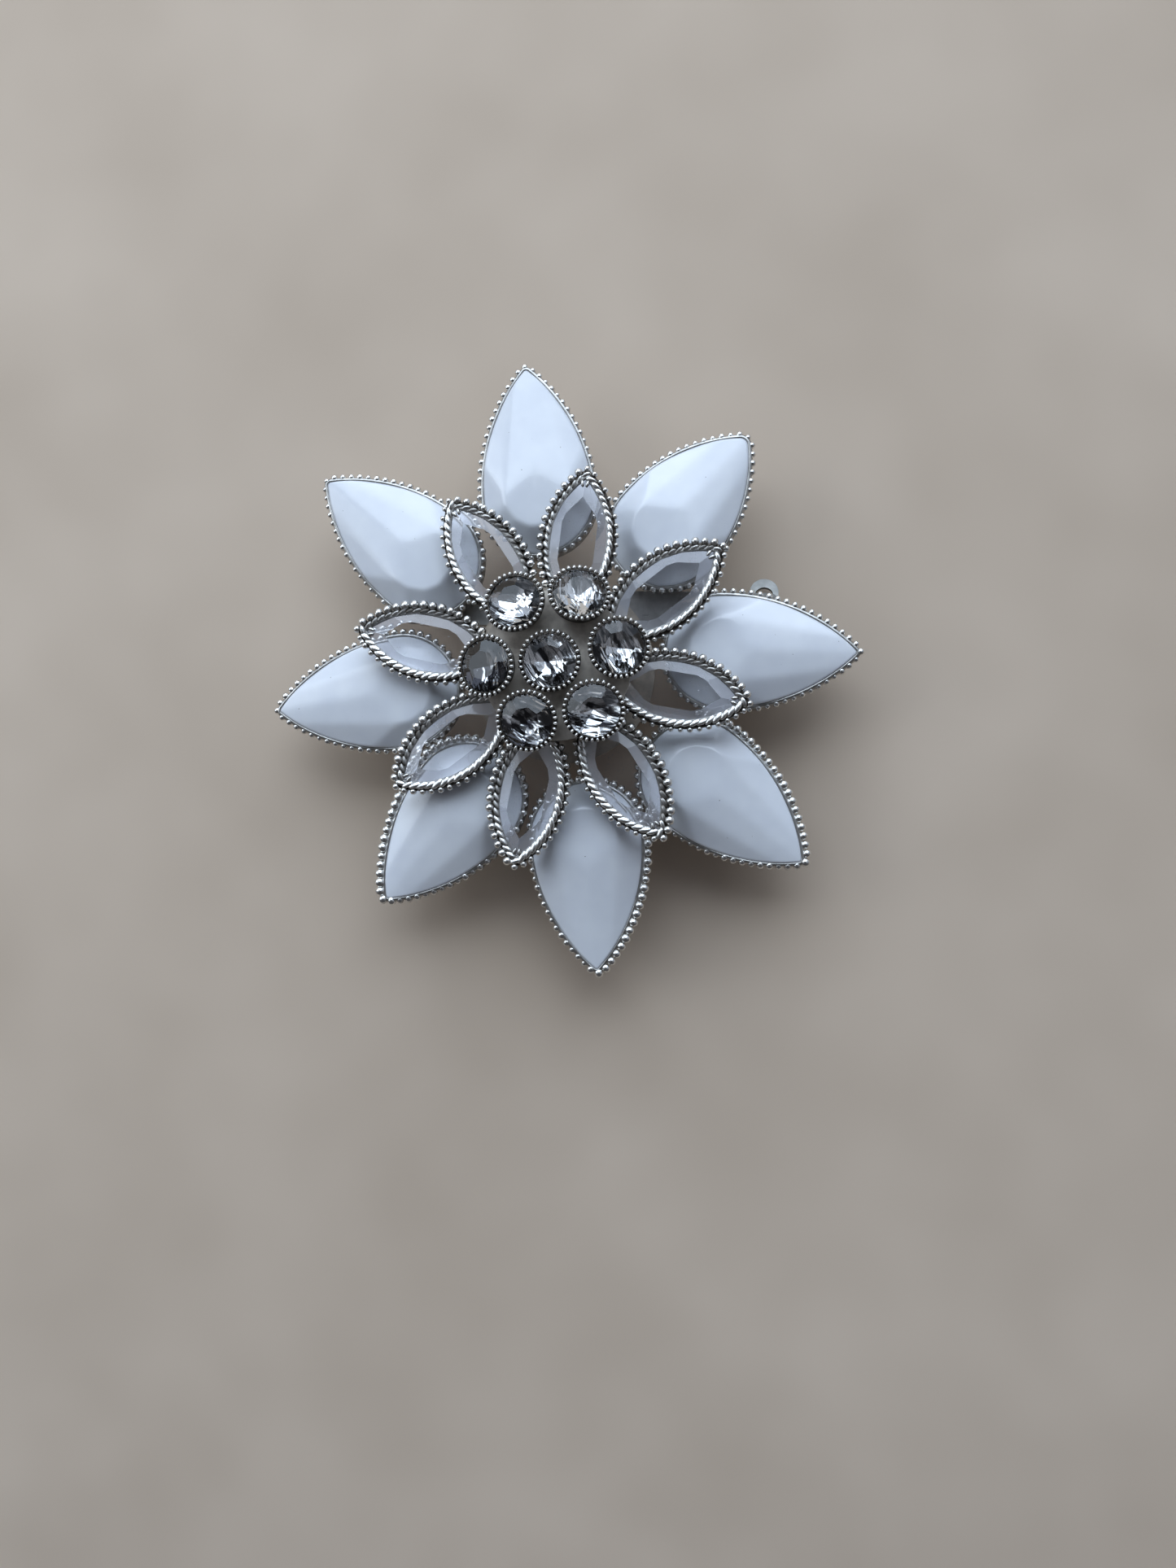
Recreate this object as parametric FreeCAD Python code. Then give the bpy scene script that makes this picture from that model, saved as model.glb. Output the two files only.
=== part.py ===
import FreeCAD, Part
import math
import os

# Flower brooch in three tiers, built up on a riveted stack of plates, with a bar pin on its back.
# Millimetres. +Z is the way the flower faces, the lowest point of the pin's catch is at z = 0,
# and the z axis runs through the middle of the stack.

V = FreeCAD.Vector
X_AXIS = V(1, 0, 0)
Y_AXIS = V(0, 1, 0)
Z_AXIS = V(0, 0, 1)

# ---- petals: their stone's tip, as a radius from the stack's axis and a direction in degrees from +X,
# ---- and how far the petal's own axis is turned from that direction
OUTER_PETALS = [
    (34.2, 98.2, -0.9), (32.7, 52.3, -2.6), (32.8, 4.2, -3.8), (34.2, -37.4, -0.3),
    (33.9, -81.8, -2.2), (32.7, -126.4, -2.2), (32.9, -170.9, 0.4), (34.6, 142.5, -0.2),
]
INNER_PETALS = [
    (21.2, 82.5, 1.8), (21.6, 36.7, 2.0), (20.8, -10.0, 1.2), (21.5, -56.8, 0.8),
    (21.9, -100.7, 0.8), (21.7, -142.4, 0.2), (22.2, 170.4, -1.2), (21.4, 124.6, 0.0),
]
# ---- round cups: radius of the rim's centre, its direction, and how far the cup leans outward ----
CUPS = [
    (0.3, 150.0, 3.0), (7.9, 69.5, 24.0), (7.3, 13.5, 13.0), (6.8, -48.0, 12.0),
    (6.8, -112.5, 12.0), (7.2, -176.0, 18.0), (7.7, 123.5, 13.0),
]

# ---- petal stones: length from the widest place to the tip, half width, tip radius ----
WHITE_STONE = (14.7, 6.2, 0.35)
BLUNT_STONE = (13.4, 6.2, 0.9)
BLUNT_PETAL = 2                  # the outer petal whose tip is rounder than the rest
CLEAR_STONE = (7.6, 3.6, 0.3)
WHITE_CROWN = 2.2                # height from girdle to table
CLEAR_CROWN = 0.66
# ---- crown facets: the direction each faces, from the tip's, and how far out it meets the table ----
WHITE_FACETS = [(33.0, 2.4), (62.0, 3.5), (90.0, 3.6), (120.0, 3.5), (150.0, 3.5), (180.0, 3.5)]
CLEAR_FACETS = [(50.0, 3.2), (70.0, 2.55), (90.0, 1.95), (110.0, 2.55), (130.0, 3.2)]

# ---- petal settings, as offsets outward from the stone's outline ----
SEAT_GAP = 0.05
WALL_OFFSET = 0.45
BEZEL_RIM_OFFSET = 0.85
FRAME_RIM_OFFSET = 0.8
LEDGE_OFFSET = -0.5
RIM_BAND = 0.8                   # height of the thick band at the rim
RIM_CHAMFER = 0.2
GIRDLE_DROP = 0.3                # girdle below the rim
BEZEL_HEIGHT = 2.8
BEZEL_FLOOR = 0.5
FRAME_HEIGHT = 2.0
FRAME_LEDGE = 0.4

# ---- round stones and their cups, from the rim plane ----
CUP_RADIUS = 3.35
CUP_WALL_RADIUS = 3.05
CUP_SEAT_RADIUS = 3.0
CUP_FOOT_RADIUS = 1.7
CUP_HEIGHT = 2.7
ROUND_RADIUS = 2.95
ROUND_TABLE_RADIUS = 1.45
ROUND_TABLE_HEIGHT = 0.75
ROUND_GIRDLE = (-0.9, -0.25)     # bottom and top of the girdle
ROUND_POINT = -2.25
ROUND_BREAK_RADIUS = 1.9         # where the girdle facets would reach the table's plane
ROUND_SIDES = 8

# ---- bar pin ----
PIN_LINE_Y = 7.4
HINGE_X = -17.0
CATCH_X = 22.8
CATCH_RADIUS = 2.3
CATCH_BORE = 1.65
CATCH_LENGTH = 2.4
CATCH_WRAP = 250.0               # degrees of ring, from +Y over the top
CATCH_FOOT_HALF = 1.2
ROLLER_RADIUS = 1.6
ROLLER_BORE = 0.65
ROLLER_LENGTH = 3.4
ROLLER_COLLAR = 2.0
ROLLER_COLLAR_LENGTH = 0.4
ROLLER_SLOT = 1.1
TAB_REACH = 4.35
TAB_SHOULDER = 2.6
TAB_HALF_WIDTH = 1.65
TAB_THICKNESS = 0.5
TAB_ANGLE = -15.0
TAB_WINDOW_REACH = 3.3
TAB_WINDOW_BASE = 2.45
TAB_WINDOW_HALF = 1.0
STEM_RADIUS = 0.45
STEM_TAPER_X = 19.0
STEM_END_X = 25.4
STEM_POINT_RADIUS = 0.06
NECK_END_X = -15.0
NECK_RADIUS = 0.75
KNUCKLE_RADIUS = 1.0
KNUCKLE_HALF = 0.8
HINGE_PIN_RADIUS = 0.4
HINGE_RUNNING_FIT = 0.05
HINGE_HOLE_FIT = 0.02
EAR_GAP = 0.05
EAR_THICKNESS = 0.6
EAR_RADIUS = 1.1
BRACKET_BASE = 0.4
BRACKET_HALF_LENGTH = 1.6
RIVET_HEAD = 0.35
HINGE_HEAD_RADIUS = 0.7
BAR_THICKNESS = 0.6
BAR_HALF_WIDTH = 2.0
BAR_START_X = -19.2
BAR_END_X = 24.4

# ---- stack ----
PLATE_THICKNESS = 0.8
TOP_PLATE_THICKNESS = 0.6
BACK_PLATE_RADIUS = 10.5
MID_PLATE_RADIUS = 7.5
TOP_PLATE_RADIUS = 8.2
SPACER_RADIUS = 3.5
STACK_RIVET_RADIUS = 1.0
STACK_HOLE_FIT = 0.03
STACK_HEAD_RADIUS = 1.7
STACK_HEAD = 0.5
OVER_WHITE = 0.15                # mid tier above the white stones
OVER_FRAMES = 0.35               # top plate above the mid tier's rims

# ---- levels ----
AXIS_Z = CATCH_RADIUS * math.sin(math.radians(CATCH_WRAP - 180.0))
BAR_Z = AXIS_Z + CATCH_RADIUS
BACK_PLATE_Z = BAR_Z + BAR_THICKNESS
BEZEL_Z = BACK_PLATE_Z + PLATE_THICKNESS
WHITE_GIRDLE_Z = BEZEL_Z + BEZEL_HEIGHT - GIRDLE_DROP
FRAME_Z = WHITE_GIRDLE_Z + WHITE_CROWN + OVER_WHITE
MID_PLATE_Z = FRAME_Z - PLATE_THICKNESS
FRAME_RIM_Z = FRAME_Z + FRAME_HEIGHT
TOP_PLATE_Z = FRAME_RIM_Z + OVER_FRAMES
CUP_FLOOR_Z = TOP_PLATE_Z + TOP_PLATE_THICKNESS

CUT = 60.0                       # edge of the blocks that trim facets


def cylinder(radius, z_low, z_high):
    return Part.makeCylinder(radius, z_high - z_low, V(0, 0, z_low))


def revolved(profile, axis, angle=360.0):
    """Solid from a closed profile of points turned about a line through the origin."""
    wire = Part.makePolygon(profile + [profile[0]])
    return Part.Face(wire).revolve(V(0, 0, 0), axis, angle)


def side_radius(outline):
    """Radius of the two long arcs of a pointed oval whose tips are small arcs."""
    length, width, tip = outline
    return ((length - tip) ** 2 + width ** 2 - tip ** 2) / (2.0 * (width - tip))


def grown(outline, offset):
    """The parallel outline at a distance outside this one."""
    length, width, tip = outline
    return (length + offset, width + offset, max(tip + offset, 0.05))


def petal_face(outline, z, pointed_back):
    """Face with its widest place at x = 0 and a tip on +X; the other end is a half circle, or a second tip."""
    length, width, tip = outline
    radius = side_radius(outline)
    lean = math.atan2(length - tip, radius - width)
    touch_x = length - tip + tip * math.sin(lean)
    touch_y = tip * math.cos(lean)
    touch = V(touch_x, touch_y, z)
    low_touch = V(touch_x, -touch_y, z)
    edges = [Part.Arc(low_touch, V(length, 0, z), touch).toShape()]
    if pointed_back:
        back = V(-touch_x, touch_y, z)
        low_back = V(-touch_x, -touch_y, z)
        edges.append(Part.Arc(touch, V(0, width, z), back).toShape())
        edges.append(Part.Arc(back, V(-length, 0, z), low_back).toShape())
        edges.append(Part.Arc(low_back, V(0, -width, z), low_touch).toShape())
    else:
        middle_x = radius * math.sin(lean / 2)
        middle_y = radius * math.cos(lean / 2) - radius + width
        side = V(0, width, z)
        low_side = V(0, -width, z)
        edges.append(Part.Arc(touch, V(middle_x, middle_y, z), side).toShape())
        edges.append(Part.Arc(side, V(-width, 0, z), low_side).toShape())
        edges.append(Part.Arc(low_side, V(middle_x, -middle_y, z), low_touch).toShape())
    return Part.Face(Part.Wire(edges))


def petal_prism(outline, z_low, z_high, pointed_back):
    return petal_face(outline, z_low, pointed_back).extrude(V(0, 0, z_high - z_low))


def facet(solid, direction, girdle, girdle_z, far, far_z):
    """Trims a solid by the plane that faces a direction in plan and passes two distances at two heights."""
    heading = V(math.cos(math.radians(direction)), math.sin(math.radians(direction)), 0)
    rise = far_z - girdle_z
    sign = 1.0 if rise > 0 else -1.0
    outward = heading * (rise * sign) + Z_AXIS * ((girdle - far) * sign)
    block = Part.makeBox(CUT, CUT, CUT, V(-CUT / 2, -CUT / 2, 0))
    block.Placement = FreeCAD.Placement(heading * girdle + V(0, 0, girdle_z),
                                        FreeCAD.Rotation(Z_AXIS, outward))
    return solid.cut(block)


def reach(outline, direction, pointed_back):
    """How far a petal outline reaches in a direction from its tip's, from 0 to 180 degrees."""
    length, width, tip = outline
    if pointed_back and direction > 90.0:
        direction = 180.0 - direction
    if direction > 90.0:
        return width
    radius = side_radius(outline)
    angle = math.radians(direction)
    if math.tan(angle) * (length - tip) < radius - width:
        return (length - tip) * math.cos(angle) + tip
    return radius - (radius - width) * math.sin(angle)


def petal_stone(outline, base_z, girdle_z, crown, facets, pointed_back):
    """Petal stone with a flat back, an upright girdle and a crown of flat facets round a table."""
    top_z = girdle_z + crown
    stone = petal_prism(outline, base_z, top_z, pointed_back)
    for direction, table_reach in facets:
        girdle_reach = reach(outline, direction, pointed_back)
        for heading in {direction, -direction} - {-180.0}:
            stone = facet(stone, heading, girdle_reach, girdle_z, table_reach, top_z)
    return stone


def rim_band(outline, rim_offset, rim_z, pointed_back):
    """Thick band round a setting's rim, with its outer edges taken off."""
    band = petal_prism(grown(outline, rim_offset), rim_z - RIM_BAND, rim_z, pointed_back)
    edges = [edge for edge in band.Edges if edge.BoundBox.ZLength < 1e-6]
    return band.makeChamfer(RIM_CHAMFER, edges)


def closed_bezel(outline):
    """Cup with a flat floor that holds a white stone."""
    rim_z = BEZEL_Z + BEZEL_HEIGHT
    wall = petal_prism(grown(outline, WALL_OFFSET), BEZEL_Z, rim_z, False)
    band = rim_band(outline, BEZEL_RIM_OFFSET, rim_z, False)
    seat = petal_prism(grown(outline, SEAT_GAP), BEZEL_Z + BEZEL_FLOOR, rim_z + 1.0, False)
    return wall.fuse(band).cut(seat).removeSplitter()


def open_frame(outline):
    """Setting with an open back, which holds a clear stone on a ledge."""
    wall = petal_prism(grown(outline, WALL_OFFSET), FRAME_Z, FRAME_RIM_Z, True)
    band = rim_band(outline, FRAME_RIM_OFFSET, FRAME_RIM_Z, True)
    seat = petal_prism(grown(outline, SEAT_GAP), FRAME_Z + FRAME_LEDGE, FRAME_RIM_Z + 1.0, True)
    window = petal_prism(grown(outline, LEDGE_OFFSET), FRAME_Z - 1.0, FRAME_RIM_Z, True)
    return wall.fuse(band).cut(seat).cut(window).removeSplitter()


def petal_place(petal, outline):
    """Placement that puts an outline's tip at a petal's tip, along the petal's own axis."""
    tip_radius, direction, turned = petal
    tip = FreeCAD.Rotation(Z_AXIS, direction).multVec(V(tip_radius, 0, 0))
    turn = FreeCAD.Rotation(Z_AXIS, direction + turned)
    return FreeCAD.Placement(tip - turn.multVec(V(outline[0], 0, 0)), turn)


def placed(shape, placement):
    copy = shape.copy()
    copy.Placement = placement
    return copy


def round_cup():
    """Conical cup with its rim plane at z = 0."""
    profile = [
        V(0, 0, -CUP_HEIGHT), V(CUP_FOOT_RADIUS, 0, -CUP_HEIGHT),
        V(CUP_WALL_RADIUS, 0, -1.2), V(CUP_WALL_RADIUS, 0, -0.55),
        V(CUP_RADIUS, 0, -0.4), V(CUP_RADIUS, 0, -0.1),
        V(CUP_RADIUS - 0.1, 0, 0), V(CUP_SEAT_RADIUS, 0, 0),
        V(CUP_SEAT_RADIUS, 0, -1.0), V(0.6, 0, -2.38), V(0, 0, -2.38),
    ]
    return revolved(profile, Z_AXIS)


def round_stone():
    """Pointed-back round stone with eight main facets above and below its girdle."""
    low, high = ROUND_GIRDLE
    stone = cylinder(ROUND_RADIUS, ROUND_POINT, ROUND_TABLE_HEIGHT)
    step = 360.0 / ROUND_SIDES
    for side in range(ROUND_SIDES):
        main = side * step
        stone = facet(stone, main, ROUND_RADIUS, high, ROUND_TABLE_RADIUS, ROUND_TABLE_HEIGHT)
        stone = facet(stone, main + step / 2, ROUND_RADIUS, high, ROUND_BREAK_RADIUS,
                      ROUND_TABLE_HEIGHT)
        stone = facet(stone, main, ROUND_RADIUS, low, 0.0, ROUND_POINT)
    return stone


def cup_place(cup, floor_z):
    """Placement of a cup that leans outward and stands with its foot's low side on the floor."""
    radius, direction, lean = cup
    tilt = math.radians(lean)
    rim_z = floor_z + CUP_HEIGHT * math.cos(tilt) + CUP_FOOT_RADIUS * math.sin(tilt)
    turn = FreeCAD.Rotation(Z_AXIS, direction).multiply(FreeCAD.Rotation(Y_AXIS, lean))
    heading = math.radians(direction)
    return FreeCAD.Placement(V(radius * math.cos(heading), radius * math.sin(heading), rim_z), turn)


def stack_plate(radius, z_low, z_high):
    hole = cylinder(STACK_RIVET_RADIUS + STACK_HOLE_FIT, z_low - 1.0, z_high + 1.0)
    return cylinder(radius, z_low, z_high).cut(hole)


def centre_rivet():
    shank = cylinder(STACK_RIVET_RADIUS, BACK_PLATE_Z, CUP_FLOOR_Z)
    back_head = cylinder(STACK_HEAD_RADIUS, BACK_PLATE_Z - STACK_HEAD, BACK_PLATE_Z)
    front_head = cylinder(STACK_HEAD_RADIUS, CUP_FLOOR_Z, CUP_FLOOR_Z + STACK_HEAD)
    return shank.fuse([back_head, front_head]).removeSplitter()


def on_pin_line(shape, x):
    """Moves a shape made about the origin to a point on the pin's line."""
    return placed(shape, FreeCAD.Placement(V(x, PIN_LINE_Y, AXIS_Z), FreeCAD.Rotation()))


def pin_bar():
    size = (BAR_END_X - BAR_START_X, 2 * BAR_HALF_WIDTH, BAR_THICKNESS)
    bar = Part.makeBox(*size, V(BAR_START_X, PIN_LINE_Y - BAR_HALF_WIDTH, BAR_Z))
    corners = [edge for edge in bar.Edges if edge.BoundBox.ZLength > BAR_THICKNESS / 2]
    return bar.makeFillet(BAR_HALF_WIDTH * 0.6, corners)


def across(radius, half_width, x=0.0, z=0.0):
    """Cylinder along Y, centred on y = 0."""
    return Part.makeCylinder(radius, 2 * half_width, V(x, -half_width, z), Y_AXIS)


def hinge_bracket():
    """Base under the bar with two ears that carry the hinge rivet."""
    inner = KNUCKLE_HALF + EAR_GAP
    outer = inner + EAR_THICKNESS
    top = BAR_Z - AXIS_Z
    base = Part.makeBox(2 * BRACKET_HALF_LENGTH, 2 * outer, BRACKET_BASE,
                        V(-BRACKET_HALF_LENGTH, -outer, top - BRACKET_BASE))
    ears = Part.makeBox(2 * EAR_RADIUS, 2 * outer, top - BRACKET_BASE, V(-EAR_RADIUS, -outer, 0))
    ears = ears.fuse(across(EAR_RADIUS, outer))
    slot = Part.makeBox(4 * EAR_RADIUS, 2 * inner, top - BRACKET_BASE + EAR_RADIUS,
                        V(-2 * EAR_RADIUS, -inner, -EAR_RADIUS))
    hole = across(HINGE_PIN_RADIUS + HINGE_HOLE_FIT, 2 * outer)
    bracket = base.fuse(ears.cut(slot)).removeSplitter().cut(hole)
    return on_pin_line(bracket, HINGE_X)


def hinge_rivet():
    outer = KNUCKLE_HALF + EAR_GAP + EAR_THICKNESS
    rivet = across(HINGE_PIN_RADIUS, outer)
    for y in (-outer - RIVET_HEAD, outer):
        rivet = rivet.fuse(Part.makeCylinder(HINGE_HEAD_RADIUS, RIVET_HEAD, V(0, y, 0), Y_AXIS))
    return on_pin_line(rivet.removeSplitter(), HINGE_X)


def pin_stem():
    """Knuckle, neck, straight stem and sharpened end, along +X from the hinge."""
    neck_x = NECK_END_X - HINGE_X
    taper_x = STEM_TAPER_X - HINGE_X
    end_x = STEM_END_X - HINGE_X
    start_x = KNUCKLE_RADIUS / 2
    profile = [
        V(start_x, 0, 0), V(start_x, NECK_RADIUS, 0), V(neck_x, STEM_RADIUS, 0),
        V(taper_x, STEM_RADIUS, 0), V(end_x, STEM_POINT_RADIUS, 0), V(end_x, 0, 0),
    ]
    stem = across(KNUCKLE_RADIUS, KNUCKLE_HALF).fuse(revolved(profile, X_AXIS))
    hole = across(HINGE_PIN_RADIUS + HINGE_RUNNING_FIT, 2 * KNUCKLE_HALF)
    return on_pin_line(stem.removeSplitter().cut(hole), HINGE_X)


def ring_profile(inner, outer, x_low, x_high):
    return [V(x_low, inner, 0), V(x_high, inner, 0), V(x_high, outer, 0), V(x_low, outer, 0)]


def catch_body():
    """C-shaped ring open towards the back, with a foot under the bar."""
    half = CATCH_LENGTH / 2
    ring = revolved(ring_profile(CATCH_BORE, CATCH_RADIUS, -half, half), X_AXIS, CATCH_WRAP)
    foot = Part.makeBox(CATCH_LENGTH, 2 * CATCH_FOOT_HALF, CATCH_RADIUS - CATCH_BORE,
                        V(-half, -CATCH_FOOT_HALF, CATCH_BORE))
    bore = Part.makeCylinder(CATCH_BORE, 2 * CATCH_LENGTH, V(-CATCH_LENGTH, 0, 0), X_AXIS)
    return on_pin_line(ring.fuse(foot.cut(bore)).removeSplitter(), CATCH_X)


def arch_plate(base_y, shoulder_y, top_y, half_width, thickness):
    """Plate in the XY plane: straight sides from the base up to the shoulders, then an arc."""
    left = V(-half_width, base_y, -thickness / 2)
    right = V(half_width, base_y, -thickness / 2)
    left_shoulder = V(-half_width, shoulder_y, -thickness / 2)
    right_shoulder = V(half_width, shoulder_y, -thickness / 2)
    crown = V(0, top_y, -thickness / 2)
    edges = [
        Part.LineSegment(left, right).toShape(),
        Part.LineSegment(right, right_shoulder).toShape(),
        Part.Arc(right_shoulder, crown, left_shoulder).toShape(),
        Part.LineSegment(left_shoulder, left).toShape(),
    ]
    return Part.Face(Part.Wire(edges)).extrude(V(0, 0, thickness))


def catch_roller():
    """Slotted roller with collars and a looped thumb tab; it turns in the catch to close the slot."""
    half = ROLLER_LENGTH / 2
    roller = revolved(ring_profile(ROLLER_BORE, ROLLER_RADIUS, -half, half), X_AXIS)
    for x in (-half, half - ROLLER_COLLAR_LENGTH):
        collar = ring_profile(ROLLER_BORE, ROLLER_COLLAR, x, x + ROLLER_COLLAR_LENGTH)
        roller = roller.fuse(revolved(collar, X_AXIS))
    slot = Part.makeBox(2 * ROLLER_LENGTH, ROLLER_SLOT, 2 * ROLLER_COLLAR,
                        V(-ROLLER_LENGTH, -ROLLER_SLOT / 2, -2 * ROLLER_COLLAR))
    tab = arch_plate(ROLLER_RADIUS - 0.3, TAB_SHOULDER, TAB_REACH, TAB_HALF_WIDTH, TAB_THICKNESS)
    window = arch_plate(TAB_WINDOW_BASE, TAB_WINDOW_BASE + 0.2, TAB_WINDOW_REACH, TAB_WINDOW_HALF,
                        2 * TAB_THICKNESS)
    tab = tab.cut(window)
    tab.rotate(V(0, 0, 0), X_AXIS, TAB_ANGLE)
    return on_pin_line(roller.cut(slot).fuse(tab).removeSplitter(), CATCH_X)


def build():
    """Every node's solid, by name."""
    nodes = {}
    for number, petal in enumerate(OUTER_PETALS, 1):
        outline = BLUNT_STONE if number == BLUNT_PETAL else WHITE_STONE
        stone = petal_stone(outline, BEZEL_Z + BEZEL_FLOOR, WHITE_GIRDLE_Z, WHITE_CROWN,
                            WHITE_FACETS, False)
        place = petal_place(petal, outline)
        nodes[f"outer_bezel_{number}"] = placed(closed_bezel(outline), place)
        nodes[f"outer_stone_{number}"] = placed(stone, place)

    frame = open_frame(CLEAR_STONE)
    clear = petal_stone(CLEAR_STONE, FRAME_Z + FRAME_LEDGE, FRAME_RIM_Z - GIRDLE_DROP, CLEAR_CROWN,
                        CLEAR_FACETS, True)
    for number, petal in enumerate(INNER_PETALS, 1):
        place = petal_place(petal, CLEAR_STONE)
        nodes[f"inner_bezel_{number}"] = placed(frame, place)
        nodes[f"inner_stone_{number}"] = placed(clear, place)

    cup_shape = round_cup()
    round_shape = round_stone()
    for number, cup in enumerate(CUPS, 1):
        floor_z = CUP_FLOOR_Z + (STACK_HEAD if number == 1 else 0.0)
        place = cup_place(cup, floor_z)
        nodes[f"round_cup_{number}"] = placed(cup_shape, place)
        nodes[f"round_stone_{number}"] = placed(round_shape, place)

    nodes["back_plate"] = stack_plate(BACK_PLATE_RADIUS, BACK_PLATE_Z, BEZEL_Z)
    nodes["mid_plate"] = stack_plate(MID_PLATE_RADIUS, MID_PLATE_Z, FRAME_Z)
    nodes["cluster_plate"] = stack_plate(TOP_PLATE_RADIUS, TOP_PLATE_Z, CUP_FLOOR_Z)
    nodes["centre_spacer"] = stack_plate(SPACER_RADIUS, BEZEL_Z, MID_PLATE_Z)
    nodes["upper_spacer"] = stack_plate(SPACER_RADIUS, FRAME_Z, TOP_PLATE_Z)
    nodes["centre_rivet"] = centre_rivet()
    nodes["pin_bar"] = pin_bar()
    nodes["hinge_bracket"] = hinge_bracket()
    nodes["hinge_rivet"] = hinge_rivet()
    nodes["pin_stem"] = pin_stem()
    nodes["catch_body"] = catch_body()
    nodes["catch_roller"] = catch_roller()
    return nodes


def main():
    os.makedirs("parts", exist_ok=True)
    for name, shape in build().items():
        solid = shape.Solids[0]
        if not solid.isValid() or len(shape.Solids) != 1:
            raise ValueError(f"{name} is not one valid solid")
        solid.exportStep(f"parts/{name}.step")


main()
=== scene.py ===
import math
import random

import bmesh
import bpy
import numpy as np
from mathutils import Matrix, Vector


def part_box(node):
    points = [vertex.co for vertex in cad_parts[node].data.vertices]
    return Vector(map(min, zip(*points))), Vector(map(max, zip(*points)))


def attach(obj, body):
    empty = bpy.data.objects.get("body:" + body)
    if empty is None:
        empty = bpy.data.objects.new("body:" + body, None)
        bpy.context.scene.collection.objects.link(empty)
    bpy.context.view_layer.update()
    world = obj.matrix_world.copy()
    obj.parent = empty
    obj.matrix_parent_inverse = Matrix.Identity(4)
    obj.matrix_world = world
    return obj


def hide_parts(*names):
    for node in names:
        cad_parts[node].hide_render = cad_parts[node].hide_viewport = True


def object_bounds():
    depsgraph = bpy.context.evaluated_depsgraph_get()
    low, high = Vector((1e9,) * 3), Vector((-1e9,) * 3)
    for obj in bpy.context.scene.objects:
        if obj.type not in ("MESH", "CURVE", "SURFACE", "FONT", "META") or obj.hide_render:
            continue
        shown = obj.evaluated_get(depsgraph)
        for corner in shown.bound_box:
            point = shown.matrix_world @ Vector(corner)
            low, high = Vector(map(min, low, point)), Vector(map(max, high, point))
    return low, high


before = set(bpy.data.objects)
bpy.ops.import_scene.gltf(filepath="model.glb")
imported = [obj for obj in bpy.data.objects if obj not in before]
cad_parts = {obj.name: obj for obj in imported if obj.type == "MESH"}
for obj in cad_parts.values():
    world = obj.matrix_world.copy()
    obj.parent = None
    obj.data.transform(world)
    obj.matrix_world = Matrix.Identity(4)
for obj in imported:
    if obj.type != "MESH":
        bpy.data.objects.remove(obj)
cad_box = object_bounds()

# Looks of the flower brooch. Lengths are in millimetres until a mesh is made, angles in degrees.

MM = 0.001

# ---- where the petals and cups are, as in the CAD ----
# A petal is its stone tip's radius and direction, and how far its own axis is turned from that direction.
OUTER_PETALS = [
    (34.2, 98.2, -0.9), (32.7, 52.3, -2.6), (32.8, 4.2, -3.8), (34.2, -37.4, -0.3),
    (33.9, -81.8, -2.2), (32.7, -126.4, -2.2), (32.9, -170.9, 0.4), (34.6, 142.5, -0.2),
]
INNER_PETALS = [
    (21.2, 82.5, 1.8), (21.6, 36.7, 2.0), (20.8, -10.0, 1.2), (21.5, -56.8, 0.8),
    (21.9, -100.7, 0.8), (21.7, -142.4, 0.2), (22.2, 170.4, -1.2), (21.4, 124.6, 0.0),
]
# A cup is its rim centre's radius and direction, and its outward lean.
CUPS = [
    (0.3, 150.0, 3.0), (7.9, 69.5, 24.0), (7.3, 13.5, 13.0), (6.8, -48.0, 12.0),
    (6.8, -112.5, 12.0), (7.2, -176.0, 18.0), (7.7, 123.5, 13.0),
]

# ---- petal outlines: length from the widest place to the tip, half width, tip radius ----
WHITE_STONE = (14.7, 6.2, 0.35)
BLUNT_STONE = (13.4, 6.2, 0.9)
BLUNT_PETAL = 2
CLEAR_STONE = (7.6, 3.6, 0.3)
MIN_TIP = 0.04

# ---- stones ----
# Crowns and backs are measured from the girdle, and facets are (direction from the tip's, how far the
# table's edge is that way), each on both sides.
GIRDLE_DROP = 0.3                # from the setting's rim down to the girdle
WHITE_CROWN = 2.2
WHITE_FACETS = [(33.0, 2.4), (62.0, 3.5), (90.0, 3.6), (120.0, 3.5), (150.0, 3.5), (180.0, 3.5)]
WHITE_SOFTNESS = 0.07            # how far the moulded edges between facets are rounded off
WHITE_BASE = -2.0
WHITE_BACK_EDGE = 0.1            # chamfer round the back
WHITE_RING_STEP = 0.22           # the crown's mesh is rings this far apart, down to a last small one
WHITE_LAST_RING = 0.15
CROWN_LOWEST = -0.02             # the softened crown sinks no further than this at the girdle
CLEAR_CROWN = 0.66
CLEAR_BASE = -1.3
CLEAR_FACETS = [(50.0, 3.2), (70.0, 2.55), (90.0, 1.95), (110.0, 2.55), (130.0, 3.2)]
CLEAR_EDGE = 0.035               # rounding of the edges between facets
UPRIGHT, LEVEL = 0.05, 0.999     # upward parts of the normals between which a face is a crown facet
# The round crystal is measured from its cup's rim plane.
ROUND_RADIUS = 2.95
ROUND_GIRDLE = (-0.9, -0.25)     # heights of its foot and its top
ROUND_TABLE = (1.45, 0.75)       # radius and height
ROUND_BREAK_RADIUS = 1.9         # how far the facets between the main ones reach in, at the table's height
ROUND_POINT = -1.72
ROUND_SIDES = 8
ROUND_SEGMENTS = 64
FACE_MARGIN = 0.01               # a foiled face's middle is at most this far above the girdle's foot

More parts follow.
